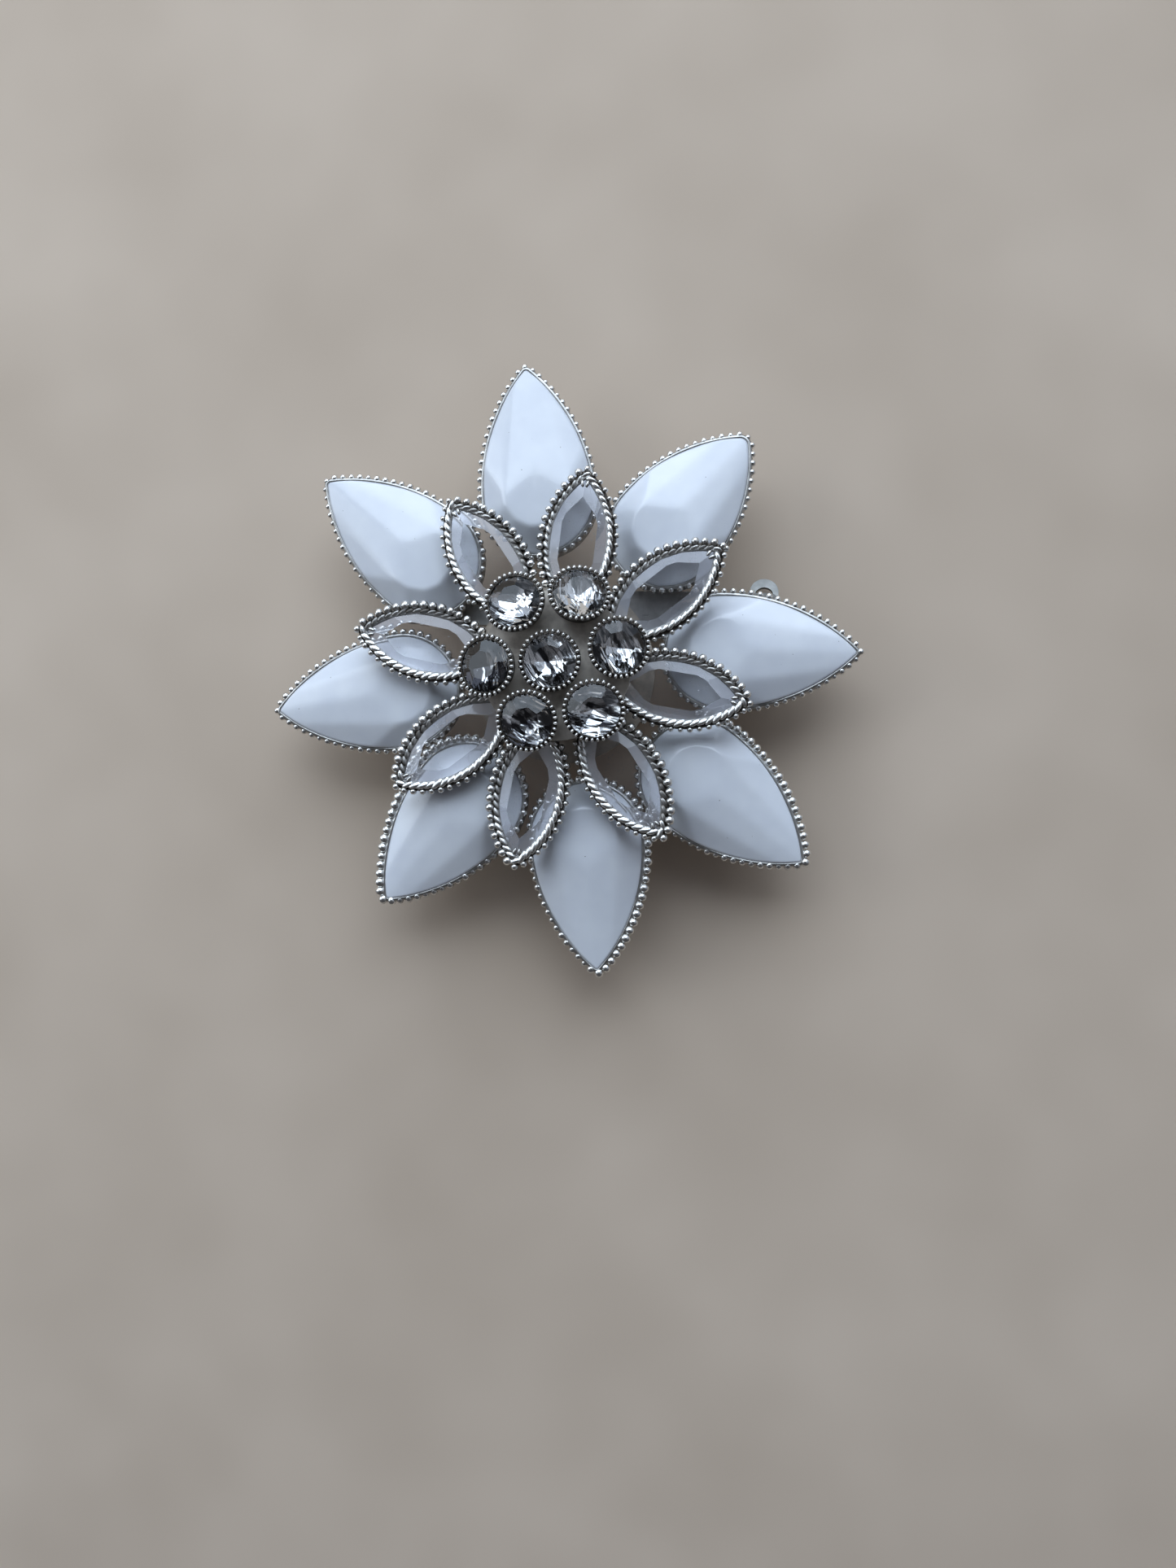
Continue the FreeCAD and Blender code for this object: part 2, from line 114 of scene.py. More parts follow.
# ---- rows of beads: offset of the centres from the stone's edge, height from the rim, pitch,
# ---- half sizes along the row, across it and upright, and tarnish at a bead's middle height
BEZEL_BEADS = (0.50, -0.60, 1.0, (0.41, 0.45, 0.38), 0.25)
FRAME_BEADS = (0.56, -0.28, 1.04, (0.40, 0.43, 0.42), 0.40)
FRAME_ROPE = (-0.14, -0.08, 0.84, (0.66, 0.33, 0.20), 0.45)
ROPE_SLANT = 24.0                # how far the rope's strands are turned from its run, and lean inward
ROPE_LEAN = 26.0
CUP_BEADS = (3.14, -0.12, 0.60, (0.19, 0.27, 0.27), 0.40)       # its offset is from the cup's axis
BEAD_SHADE = 0.75                # how much darker a bead is made at its foot and lighter at its top: partly tarnish, partly painted shade
# How much neighbouring beads differ either way: in size, tarnish, heading and height.
SIZE_SPREAD = 0.10
TARNISH_SPREAD = 0.18
HEADING_SPREAD = 8.0
HEIGHT_SPREAD = 0.03
# Two claws hold each clear stone's tip: their half sizes, tarnish, place and turn.
TIP_CLAW = (0.42, 0.20, 0.18)
TIP_CLAW_WEAR = 0.8
TIP_CLAW_PLACE = (1.15, 0.26, 0.0)      # back from the stone's tip, to the side, and up from the rim
TIP_CLAW_TURN = 14.0
# Casts are uneven: how much larger, higher and, as painted light, less tarnished a row is on a petal's
# lit side. The frames' outer beads are the other way about, smaller and lower there.
BEZEL_UNEVEN_AND_LIT = (0.12, 0.30, 0.06)
FRAME_UNEVEN_AND_LIT = (-0.20, 0.05, -0.14)
ROPE_UNEVEN_AND_LIT = (0.12, 0.45, 0.0)
# Each bezel's beads: how far they sit askew to the side, their size, and painted light as less tarnish.
BEZEL_ROWS = [
    (0.08, 0.88, -0.16), (0.0, 0.88, -0.16), (0.10, 0.92, -0.10), (0.22, 1.12, 0.0),
    (0.18, 1.14, 0.0), (-0.26, 1.26, 0.0), (-0.10, 0.94, -0.10), (-0.06, 0.86, -0.16),
]
FULL_SHIFT = 0.26                # a shift to the side that makes that side wholly the lit, painted lighter one
# Each frame's beads: the heading of its lit side in the flower, painted lighter, and their size.
FRAME_ROWS = [
    (-10.0, 0.90), (-50.0, 0.90), (-85.0, 1.0), (-150.0, 1.04),
    (-40.0, 1.08), (-50.0, 1.06), (-90.0, 1.0), (-170.0, 0.92),
]
# Each crystal's foil: how far its streaks are turned from the y axis, and how much more of it is worn dark.
FOILS = [(38.0, 0.0), (5.0, 0.0), (24.0, 0.08), (84.0, 0.04), (58.0, 0.11), (12.0, 0.16), (66.0, 0.0)]
CUP_FLOOR_DEPTH = 2.7            # from a cup's rim to the plate that it stands on, as in the CAD
CUP_FOOT_RADIUS = 1.7
# Each tier's own start of its random draws, to which a piece's number is added.
BEZEL_SEED, FRAME_SEED, CUP_SEED = 100, 200, 300

# ---- rounded edges of the CAD's pieces ----
PLATE_EDGE = 0.08
RIVET_EDGE = 0.12
TAB_EDGE = 0.22
FACET_ANGLE = 12.0               # an edge that turns more than this is rounded, on a stone and on metal
METAL_ANGLE = 35.0

# ---- stage, in metres ----
FLOOR_HALF = 1.5
FLOOR_GAP = 0.0002               # between the floor and the brooch's lowest point
FLOOR_COLOURS = [(0.3, (0.58, 0.47, 0.37)), (0.7, (0.67, 0.55, 0.44))]
LIT_POINT = (0.0, 0.0, 0.01)
# A lamp is its place, size, watts and colour.
WINDOW = ((0.0, 0.46, 0.36), 0.66, 3.6, (0.74, 0.86, 1.0))
LEFT_FILL = ((-0.40, 0.12, 0.24), 0.30, 0.60, (0.80, 0.90, 1.0))
# The room's light by direction: along y, from the viewer's feet (0) to beyond the flower's top (1), and z.
ROOM_BEYOND = [(0.25, (0.06, 0.06, 0.065)), (0.50, (0.22, 0.23, 0.26)), (0.88, (0.46, 0.53, 0.64))]
ROOM_ZENITH = [(0.90, (1.0, 1.0, 1.0)), (0.975, (0.25, 0.25, 0.25))]

# ---- camera: its place from the CAD frame's origin and its axes; its clipping distance is in metres ----
CAMERA_PLACE = (15.98, -12.94, 140.55)
CAMERA_RIGHT = (0.99518, 0.02378, -0.09510)
CAMERA_UP = (-0.02357, 0.99972, 0.00330)
CAMERA_LENS = 27.09
CAMERA_SENSOR = 36.0
CAMERA_CLIP = 0.01


# ------------------------------------------------------------------ outlines

HEADING_STEP = 0.05              # a loop's direction is taken between points this far apart


def side_radius(outline):
    """Radius of a petal outline's two long arcs."""
    length, width, tip = outline
    return ((length - tip) ** 2 + width ** 2 - tip ** 2) / (2.0 * (width - tip))


def grown(outline, offset):
    """The parallel outline at a distance outside this one, or inside it if the distance is negative."""
    length, width, tip = outline
    if tip + offset >= MIN_TIP:
        return (length + offset, width + offset, tip + offset)
    radius = side_radius(outline)
    reach = math.sqrt(max((radius + offset - MIN_TIP) ** 2 - (radius - width) ** 2, 0.0))
    return (reach + MIN_TIP, width + offset, MIN_TIP)


def arc(centre, radius, start, end, steps):
    """Points of an arc by its normals' angles, without the last one."""
    angles = np.radians(np.linspace(start, end, steps, endpoint=False))
    return np.stack([centre[0] + radius * np.cos(angles), centre[1] + radius * np.sin(angles)], 1)


def petal_loop(outline, pointed_back, tip_steps=5, side_steps=44, back_steps=36):
    """Closed loop of points round a petal outline, anticlockwise from the middle of its tip."""
    length, width, tip = outline
    radius = side_radius(outline)
    drop = radius - width
    turn = math.degrees(math.atan2(drop, length - tip))
    front = (length - tip, 0.0)
    parts = [arc(front, tip, 0.0, turn, tip_steps)]
    if pointed_back:
        back = (tip - length, 0.0)
        parts.append(arc((0.0, -drop), radius, turn, 180.0 - turn, 2 * side_steps))
        parts.append(arc(back, tip, 180.0 - turn, 180.0 + turn, 2 * tip_steps))
        parts.append(arc((0.0, drop), radius, 180.0 + turn, 360.0 - turn, 2 * side_steps))
    else:
        parts.append(arc((0.0, -drop), radius, turn, 90.0, side_steps))
        parts.append(arc((0.0, 0.0), width, 90.0, 270.0, back_steps))
        parts.append(arc((0.0, drop), radius, 270.0, 360.0 - turn, side_steps))
    parts.append(arc(front, tip, 360.0 - turn, 360.0, tip_steps))
    return np.concatenate(parts)


def circle_loop(radius, steps=72):
    return arc((0.0, 0.0), radius, 0.0, 360.0, steps)


def along(loop, count):
    """Evenly spaced points on a closed loop, and the directions of the loop there."""
    closed = np.vstack([loop, loop[:1]])
    pieces = np.hypot(*np.diff(closed, axis=0).T)
    run = np.concatenate([[0.0], np.cumsum(pieces)])
    stations = np.arange(count) * run[-1] / count
    points = np.stack([np.interp(stations, run, closed[:, k]) for k in (0, 1)], 1)
    ahead = (stations + HEADING_STEP) % run[-1]
    later = np.stack([np.interp(ahead, run, closed[:, k]) for k in (0, 1)], 1)
    headings = later - points
    return points, headings / np.linalg.norm(headings, axis=1)[:, None]


def loop_length(loop):
    return float(np.hypot(*(np.roll(loop, -1, axis=0) - loop).T).sum())


# ------------------------------------------------------------------ mesh building

class Form:
    """Points and faces in millimetres, with a 0 to 1 darkness value at each point: tarnish, and on beads
    painted shade and painted light too.
    """

    def __init__(self):
        self.points = []
        self.faces = []
        self.tarnish_and_shading = []
        self.finishes = []

    def add(self, points, faces, tarnish_and_shading, finish=0):
        start = sum(len(block) for block in self.points)
        self.points.append(np.asarray(points, float))
        self.tarnish_and_shading.append(np.broadcast_to(np.asarray(tarnish_and_shading, float), (len(points),)))
        self.faces.extend([tuple(start + k for k in face) for face in faces])
        self.finishes.extend([finish] * len(faces))

    def rings(self, rings, tarnish_and_shading, finish=0, closed=False, cap_first=False, cap_last=False):
        """Skin over rings of equally many points; closed joins the last ring to the first."""
        size = len(rings[0])
        faces = []
        last = len(rings) if closed else len(rings) - 1
        for row in range(last):
            low, high = row * size, ((row + 1) % len(rings)) * size
            for k in range(size):
                after = (k + 1) % size
                faces.append((low + k, low + after, high + after, high + k))
        if cap_first:
            faces.append(tuple(range(size)))
        if cap_last:
            top = (len(rings) - 1) * size
            faces.append(tuple(top + k for k in range(size)))
        self.add(np.concatenate(rings), faces, np.repeat(tarnish_and_shading, size), finish)


def flat_ring(loop, z):
    return np.column_stack([loop, np.full(len(loop), z)])


def make_object(name, form, place, materials, flat=False):
    """Mesh object from a form, moved to its place in the frame."""
    points = np.concatenate(form.points)
    world = np.array(place, float)
    points = (points @ world[:3, :3].T + world[:3, 3]) * MM
    mesh = bpy.data.meshes.new(name)
    mesh.from_pydata(points.tolist(), [], form.faces)
    # Per-point darkness: tarnish, with the beads' painted shade and painted light in it.
    tarnish_and_shading = mesh.attributes.new("tarnish_and_shading", "FLOAT", "POINT")
    tarnish_and_shading.data.foreach_set("value", np.concatenate(form.tarnish_and_shading).astype(np.float32))
    mesh.polygons.foreach_set("material_index", form.finishes)
    edit = bmesh.new()
    edit.from_mesh(mesh)
    bmesh.ops.recalc_face_normals(edit, faces=edit.faces)
    edit.to_mesh(mesh)
    edit.free()
    if not flat:
        mesh.shade_smooth()
    for material in materials:
        mesh.materials.append(material)
    made = bpy.data.objects.new(name, mesh)
    bpy.context.scene.collection.objects.link(made)
    return made


def unit_bead(around=12, rows=8):
    """Points and faces of a unit ball, with its poles up and down."""
    points = [(0.0, 0.0, -1.0)]
    for row in range(1, rows):
        level = -math.pi / 2 + math.pi * row / rows
        for k in range(around):
            turn = 2 * math.pi * k / around
            points.append((math.cos(level) * math.cos(turn), math.cos(level) * math.sin(turn),
                           math.sin(level)))
    points.append((0.0, 0.0, 1.0))
    faces = []
    for k in range(around):
        after = (k + 1) % around
        faces.append((0, 1 + after, 1 + k))
        top = 1 + (rows - 2) * around
        faces.append((top + k, top + after, len(points) - 1))
        for row in range(rows - 2):
            low = 1 + row * around
            faces.append((low + k, low + after, low + around + after, low + around + k))
    return np.array(points), faces


BEAD_POINTS, BEAD_FACES = unit_bead()


def bead(form, place, heading, sizes, lean, tone_level):
    """One cast bead with its long axis on a heading, leaning to its left, darker the higher its value."""
    ball = BEAD_POINTS * sizes
    turn, roll = math.radians(heading), math.radians(lean)
    across = ball[:, 1] * math.cos(roll) - ball[:, 2] * math.sin(roll)
    upright = ball[:, 1] * math.sin(roll) + ball[:, 2] * math.cos(roll)
    placed = np.column_stack([
        place[0] + ball[:, 0] * math.cos(turn) + across * math.sin(turn),
        place[1] + ball[:, 0] * math.sin(turn) - across * math.cos(turn),
        place[2] + upright,
    ])
    # Painted shade: each bead is darker towards its foot and lighter towards its top.
    form.add(placed, BEAD_FACES, np.clip(tone_level - BEAD_SHADE * BEAD_POINTS[:, 2], 0.0, 1.0))


def bead_row(form, loop, row, chance, scale=1.0, lit_side=(0.0, 0.0), uneven_and_lit=(0.0, 0.0, 0.0),
             slant=0.0, lean=0.0):
    """Row of cast beads along a loop, each a little different from the next.

    The row is its height, pitch, half sizes and tarnish. The lit side is a direction in plan, and
    the unevenness is how much larger, higher and, as painted light, less tarnished the beads are there.
    """
    height, pitch, sizes, tone_level = row
    points, headings = along(loop, round(loop_length(loop) / pitch))
    for (x, y), (dx, dy) in zip(points, headings):
        towards_light = dy * lit_side[0] - dx * lit_side[1]
        spread = chance.uniform(-SIZE_SPREAD, SIZE_SPREAD)
        bead_sizes = np.array(sizes) * scale * (1.0 + uneven_and_lit[0] * towards_light + spread)
        # Painted light: a bead on the lit side gets less tarnish and shows lighter.
        bead_tarnish_and_light = tone_level - uneven_and_lit[1] * towards_light + chance.uniform(-TARNISH_SPREAD, TARNISH_SPREAD)
        heading = math.degrees(math.atan2(dy, dx)) + slant + chance.uniform(-HEADING_SPREAD, HEADING_SPREAD)
        place = (x, y, height + uneven_and_lit[2] * towards_light + chance.uniform(-HEIGHT_SPREAD, HEIGHT_SPREAD))
        bead(form, place, heading, bead_sizes, lean, bead_tarnish_and_light)


# ------------------------------------------------------------------ settings

# A section is (offset from the stone's edge, height from the rim, tarnish), round the metal once.
BEZEL_SECTION = [
    (0.05, -2.30, 0.9), (0.01, -0.42, 0.9), (0.01, -0.30, 0.4), (0.10, -0.24, 0.28), (0.28, -0.29, 0.28),
    (0.42, -0.42, 0.30), (0.48, -0.62, 0.45), (0.45, -0.90, 0.5), (0.45, -2.60, 0.4), (0.41, -2.74, 0.3),
    (0.30, -2.80, 0.3),
]
FRAME_SECTION = [
    (-0.50, -1.62, 0.4), (0.04, -1.62, 0.5), (0.04, -0.34, 0.5), (-0.20, -0.24, 0.6), (-0.52, -0.10, 0.6),
    (-0.54, -0.06, 0.4), (-0.46, -0.03, 0.4), (-0.20, -0.04, 0.4), (0.06, -0.10, 0.5), (0.16, -0.30, 0.9),
    (0.26, -0.36, 0.85), (0.40, -0.40, 0.7), (0.48, -0.54, 0.6), (0.50, -0.68, 0.6), (0.45, -0.86, 0.6),
    (0.45, -1.86, 0.4), (0.36, -2.0, 0.3), (-0.44, -2.0, 0.3), (-0.50, -1.94, 0.3),
]
# The cup's section is by radius instead, from its inner floor over the rim to its foot.
CUP_SECTION = [
    (0.60, -2.38, 1.0),
    (3.00, -1.00, 0.9), (3.00, -0.34, 0.9), (2.84, -0.18, 0.9), (2.82, -0.12, 0.8), (2.86, -0.08, 0.7),
    (2.92, -0.10, 0.8), (2.98, -0.18, 1.0), (3.20, -0.20, 1.0), (3.31, -0.26, 0.6), (3.33, -0.38, 0.5),
    (3.25, -0.48, 0.6), (3.08, -0.60, 0.8), (3.05, -1.15, 0.7), (1.80, -2.58, 0.5), (1.66, -2.70, 0.4),
]


def outer_bezel(outline, shift, scale, painted_light_offset, chance):
    """Closed cup with a thin lip round the stone and a row of beads outside it."""
    form = Form()
    rings = [flat_ring(petal_loop(grown(outline, out), False), z) for out, z, _ in BEZEL_SECTION]
    form.rings(rings, [dark for _, _, dark in BEZEL_SECTION], cap_first=True, cap_last=True)
    offset, height, pitch, sizes, tone_level = BEZEL_BEADS
    loop = petal_loop(grown(outline, offset * min(scale, 1.0)), False) + (0.0, shift)
    # Painted light: the bezels on the petals towards the window get less tarnish, so their beads show
    # lighter.
    row = (height, pitch, sizes, tone_level + painted_light_offset)
    # The shifted side is the lit side, where the beads are painted lighter.
    bead_row(form, loop, row, chance, scale, (0.0, shift / FULL_SHIFT), BEZEL_UNEVEN_AND_LIT)
    return form


def inner_frame(outline, scale, lit_side, chance):
    """Open frame: beads outside a groove, a twisted rope on the stone's edge and two claws at its tip."""
    form = Form()
    rings = [flat_ring(petal_loop(grown(outline, out), True), z) for out, z, _ in FRAME_SECTION]
    form.rings(rings, [dark for _, _, dark in FRAME_SECTION], closed=True)
    offset, *row = FRAME_BEADS
    loop = petal_loop(grown(outline, offset), True)
    bead_row(form, loop, row, chance, scale, lit_side, FRAME_UNEVEN_AND_LIT)
    offset, *row = FRAME_ROPE
    loop = petal_loop(grown(outline, offset), True)
    bead_row(form, loop, row, chance, scale, lit_side, ROPE_UNEVEN_AND_LIT, ROPE_SLANT, ROPE_LEAN)
    back, aside, height = TIP_CLAW_PLACE
    for side in (-1, 1):
        place = (outline[0] - back, side * aside, height)
        bead(form, place, side * TIP_CLAW_TURN, TIP_CLAW, 0.0, TIP_CLAW_WEAR)
    return form


def round_cup(chance):
    """Conical cup with fine beads round its rim."""
    form = Form()
    rings = [flat_ring(circle_loop(radius), z) for radius, z, _ in CUP_SECTION]
    form.rings(rings, [dark for _, _, dark in CUP_SECTION], cap_first=True, cap_last=True)
    radius, *row = CUP_BEADS
    bead_row(form, circle_loop(radius, steps=360), row, chance)
    return form


# ------------------------------------------------------------------ stones

def support(outline, direction, pointed_back=False):
    """How far a petal outline reaches in a direction from its tip's."""
    length, width, tip = outline
    if pointed_back and direction > 90.0:
        direction = 180.0 - direction
    if direction > 90.0:
        return width
    radius = side_radius(outline)
    angle = math.radians(direction)
    if math.tan(angle) * (length - tip) < radius - width:
        return (length - tip) * math.cos(angle) + tip
    return radius - (radius - width) * math.sin(angle)


def crown_height(points, outline):
    """Height of a white stone's crown above its girdle: flat facets with softly rounded meetings."""
    planes = [np.full(len(points), WHITE_CROWN)]
    for direction, table_reach in WHITE_FACETS:
        girdle_reach = support(outline, direction)
        for heading in (direction, -direction):
            turn = math.radians(heading)
            reach = points[:, 0] * math.cos(turn) + points[:, 1] * math.sin(turn)
            planes.append((girdle_reach - reach) * WHITE_CROWN / (girdle_reach - table_reach))
    stack = np.array(planes)
    lowest = stack.min(axis=0)
    spread = np.exp(-(stack - lowest) / WHITE_SOFTNESS).sum(axis=0)
    return np.maximum(lowest - WHITE_SOFTNESS * np.log(spread), CROWN_LOWEST)


def white_stone(outline):
    """Moulded pear stone, from its flat back over the girdle to the crown."""
    form = Form()
    edge = petal_loop(outline, False)
    back = petal_loop(grown(outline, -WHITE_BACK_EDGE), False)
    rings = [flat_ring(back, WHITE_BASE), flat_ring(edge, WHITE_BASE + WHITE_BACK_EDGE)]
    inset = 0.0
    while inset < outline[1] - WHITE_LAST_RING:
        loop = petal_loop(grown(outline, -inset), False)
        rings.append(np.column_stack([loop, crown_height(loop, outline)]))
        inset += WHITE_RING_STEP
    form.rings(rings, [0.0] * len(rings), cap_first=True, cap_last=True)
    return form


def cut_by(edit, heading, near, near_z, far, far_z):
    """Cuts a closed mesh by the plane that faces a heading in plan and passes two radii at two heights."""
    turn = math.radians(heading)
    outward = Vector((math.cos(turn), math.sin(turn), 0.0))
    rise = far_z - near_z
    sign = 1.0 if rise > 0 else -1.0
    normal = outward * (rise * sign) + Vector((0.0, 0.0, (near - far) * sign))
    point = outward * near + Vector((0.0, 0.0, near_z))
    everything = edit.verts[:] + edit.edges[:] + edit.faces[:]
    cut = bmesh.ops.bisect_plane(edit, geom=everything, plane_co=point, plane_no=normal, clear_outer=True)
    rim = [part for part in cut["geom_cut"] if isinstance(part, bmesh.types.BMEdge)]
    bmesh.ops.contextual_create(edit, geom=rim)


def clear_stone(outline):
    """Faceted navette: a clear table and back, and a worn, slightly milky crown round the table."""
    loop = petal_loop(outline, True, tip_steps=3, side_steps=16)
    edit = bmesh.new()
    back = [edit.verts.new((x, y, CLEAR_BASE)) for x, y in loop]
    top = [edit.verts.new((x, y, CLEAR_CROWN)) for x, y in loop]
    edit.faces.new(back)
    edit.faces.new(top)
    for k, low in enumerate(back):
        after = (k + 1) % len(back)
        edit.faces.new((low, back[after], top[after], top[k]))
    bmesh.ops.recalc_face_normals(edit, faces=edit.faces)
    for direction, table_reach in CLEAR_FACETS:
        girdle_reach = support(outline, direction, True)
        for heading in (direction, -direction):
            cut_by(edit, heading, girdle_reach, 0.0, table_reach, CLEAR_CROWN)
    return faceted_form(edit, lambda face: UPRIGHT < face.normal.z < LEVEL)


def faceted_form(edit, second_finish):
    """Form from a closed faceted mesh, whose chosen faces get the second finish."""
    edit.normal_update()
    edit.verts.ensure_lookup_table()
    edit.verts.index_update()
    form = Form()
    chosen = [second_finish(face) for face in edit.faces]
    form.add([tuple(v.co) for v in edit.verts], [tuple(v.index for v in f.verts) for f in edit.faces], 0.0)
    form.finishes = [int(pick) for pick in chosen]
    edit.free()
    return form


def round_stone():
    """Faceted crystal: clear above its girdle, and a foiled pavilion below."""
    low, high = ROUND_GIRDLE
    table_radius, table_z = ROUND_TABLE
    edit = bmesh.new()
    bmesh.ops.create_cone(edit, cap_ends=True, segments=ROUND_SEGMENTS, radius1=ROUND_RADIUS,
                          radius2=ROUND_RADIUS, depth=table_z - ROUND_POINT)
    bmesh.ops.translate(edit, verts=edit.verts, vec=(0.0, 0.0, (table_z + ROUND_POINT) / 2))
    step = 360.0 / ROUND_SIDES
    for side in range(ROUND_SIDES):
        main = side * step
        cut_by(edit, main, ROUND_RADIUS, high, table_radius, table_z)
        cut_by(edit, main + step / 2, ROUND_RADIUS, high, ROUND_BREAK_RADIUS, table_z)
        cut_by(edit, main, ROUND_RADIUS, low, 0.0, ROUND_POINT)
    return faceted_form(edit, lambda face: face.calc_center_median().z <= low + FACE_MARGIN)


# ------------------------------------------------------------------ materials

def colour_ramp(tree, factor, stops):
    """Colour ramp from (position, colour) stops."""
    made = tree.nodes.new("ShaderNodeValToRGB")
    elements = made.color_ramp.elements
    for element, (position, colour) in zip(elements, (stops[0], stops[-1])):
        element.position = position
        element.color = (*colour, 1.0)
    for position, colour in stops[1:-1]:
        elements.new(position).color = (*colour, 1.0)
    tree.links.new(factor, made.inputs["Fac"])
    return made.outputs["Color"]


class Shader:
    """A principled material, whose even values are given at once and its procedural ones fed one by one."""

    def __init__(self, name, **values):
        self.material = bpy.data.materials.new(name)
        self.material.use_nodes = True
        self.tree = self.material.node_tree
        self.main = self.tree.nodes["Principled BSDF"]
        self.coordinates = self.node("ShaderNodeTexCoord").outputs["Object"]
        for socket, value in values.items():
            self.main.inputs[socket.replace("_", " ")].default_value = value

    def node(self, kind, **settings):
        made = self.tree.nodes.new(kind)
        for key, value in settings.items():
            setattr(made, key, value)
        return made

    def link(self, source, target):
        self.tree.links.new(source, target)

    def noise(self, size_mm, detail=3.0, roughness=0.55, stretch=(1.0, 1.0, 1.0), distortion=0.0, turn=0.0):
        """Noise from 0 to 1 with lumps about size_mm across, longer along an axis with stretch below 1."""
        mapping = self.node("ShaderNodeMapping", vector_type="TEXTURE")
        mapping.inputs["Scale"].default_value = tuple(1.0 / factor for factor in stretch)
        mapping.inputs["Rotation"].default_value = (0.0, 0.0, math.radians(turn))
        self.link(self.coordinates, mapping.inputs["Vector"])
        made = self.node("ShaderNodeTexNoise")
        made.inputs["Scale"].default_value = 1.0 / (size_mm * MM)
        made.inputs["Detail"].default_value = detail
        made.inputs["Roughness"].default_value = roughness
        made.inputs["Distortion"].default_value = distortion
        self.link(mapping.outputs["Vector"], made.inputs["Vector"])
        return made.outputs["Fac"]

    def attribute(self, name):
        return self.node("ShaderNodeAttribute", attribute_name=name).outputs["Fac"]

    def math(self, operation, first, second):
        made = self.node("ShaderNodeMath", operation=operation)
        for socket, value in zip(made.inputs, (first, second)):
            if isinstance(value, (int, float)):
                socket.default_value = value
            else:
                self.link(value, socket)
        return made.outputs["Value"]

    def ramp(self, factor, stops):
        return colour_ramp(self.tree, factor, stops)

    def grey(self, factor, low, high):
        """Factor from 0 to 1 turned into a value from low to high."""
        made = self.node("ShaderNodeMapRange")
        made.inputs["To Min"].default_value = low
        made.inputs["To Max"].default_value = high
        self.link(factor, made.inputs["Value"])
        return made.outputs["Result"]

    def bump(self, height, depth_mm):
        made = self.node("ShaderNodeBump")
        made.inputs["Strength"].default_value = 1.0
        made.inputs["Distance"].default_value = depth_mm * MM
        self.link(height, made.inputs["Height"])
        self.link(made.outputs["Normal"], self.main.inputs["Normal"])

    def feed(self, socket, source):
        self.link(source, self.main.inputs[socket])


SILVER_TARNISH = [
    (0.0, (0.86, 0.85, 0.82)), (0.32, (0.46, 0.45, 0.43)),
    (0.62, (0.14, 0.125, 0.11)), (0.95, (0.06, 0.05, 0.042)),
]
BLOTCHES = 0.5                   # how far blotches move the tarnish of a spot, from lowest to highest


def antique_silver():
    """Cast metal, silver on what stands out and tarnished dark in the recesses, with painted shade and
    light on the beads.
    """
    shader = Shader("antique_silver", Metallic=1.0)
    blotches = shader.math("MULTIPLY", shader.noise(size_mm=0.9, detail=4.0), BLOTCHES)
    # The per-point value read here is tarnish, with the beads' painted shade and painted light in it.
    level = shader.math("ADD", shader.attribute("tarnish_and_shading"), blotches)
    level = shader.math("SUBTRACT", level, BLOTCHES / 2)
    shader.feed("Base Color", shader.ramp(level, SILVER_TARNISH))
    shader.feed("Roughness", shader.grey(level, low=0.26, high=0.55))
    shader.bump(shader.noise(size_mm=0.12, detail=2.0), depth_mm=0.012)
    return shader.material


WHITE_CLOUD = [(0.3, (0.75, 0.78, 0.84)), (0.7, (0.81, 0.84, 0.89))]
WHITE_DUST = [(0.0, (0.25, 0.22, 0.2)), (0.170, (0.35, 0.32, 0.3)), (0.185, (1.0, 1.0, 1.0))]


def white_acrylic():
    """Glossy moulded white, with faint clouding, uneven gloss and a few specks of dust."""
    shader = Shader("white_acrylic", Specular_IOR_Level=0.5, Coat_Weight=0.25, Coat_Roughness=0.04,
                    Subsurface_Weight=0.15, Subsurface_Scale=0.6 * MM, Subsurface_Radius=(1.0, 1.0, 1.1))
    cloud = shader.noise(size_mm=4.0, detail=2.0)
    speck = shader.noise(size_mm=0.30, detail=1.0, roughness=0.3)
    mix = shader.node("ShaderNodeMix", data_type="RGBA", blend_type="MULTIPLY")
    mix.inputs["Factor"].default_value = 1.0
    shader.link(shader.ramp(cloud, WHITE_CLOUD), mix.inputs["A"])
    shader.link(shader.ramp(speck, WHITE_DUST), mix.inputs["B"])
    shader.feed("Base Color", mix.outputs["Result"])
    shader.feed("Roughness", shader.grey(shader.noise(size_mm=1.6, detail=3.0), low=0.14, high=0.24))
    shader.bump(shader.noise(size_mm=2.2, detail=1.0), depth_mm=0.02)
    return shader.material


CLEAR_SPECKS = [(0.69, (1.0, 1.0, 1.0)), (0.74, (0.55, 0.55, 0.55)), (1.0, (0.4, 0.4, 0.4))]
CLEAR_TINT = [(0.3, (0.93, 0.93, 0.95)), (0.7, (0.98, 0.98, 0.99))]
ACRYLIC_IOR = 1.49


def clear_acrylic():
    """Clear stone with a trace of haze, and pale specks of dust and tiny bubbles."""
    shader = Shader("clear_acrylic", IOR=ACRYLIC_IOR)
    speck = shader.noise(size_mm=0.14, detail=2.0, roughness=0.5)
    shader.feed("Transmission Weight", shader.ramp(speck, CLEAR_SPECKS))
    shader.feed("Base Color", shader.ramp(shader.noise(size_mm=2.0), CLEAR_TINT))
    shader.feed("Roughness", shader.grey(shader.noise(size_mm=1.2, detail=3.0), low=0.0, high=0.03))
    return shader.material


WORN_TINT = [(0.3, (0.80, 0.81, 0.88)), (0.7, (0.84, 0.85, 0.91))]


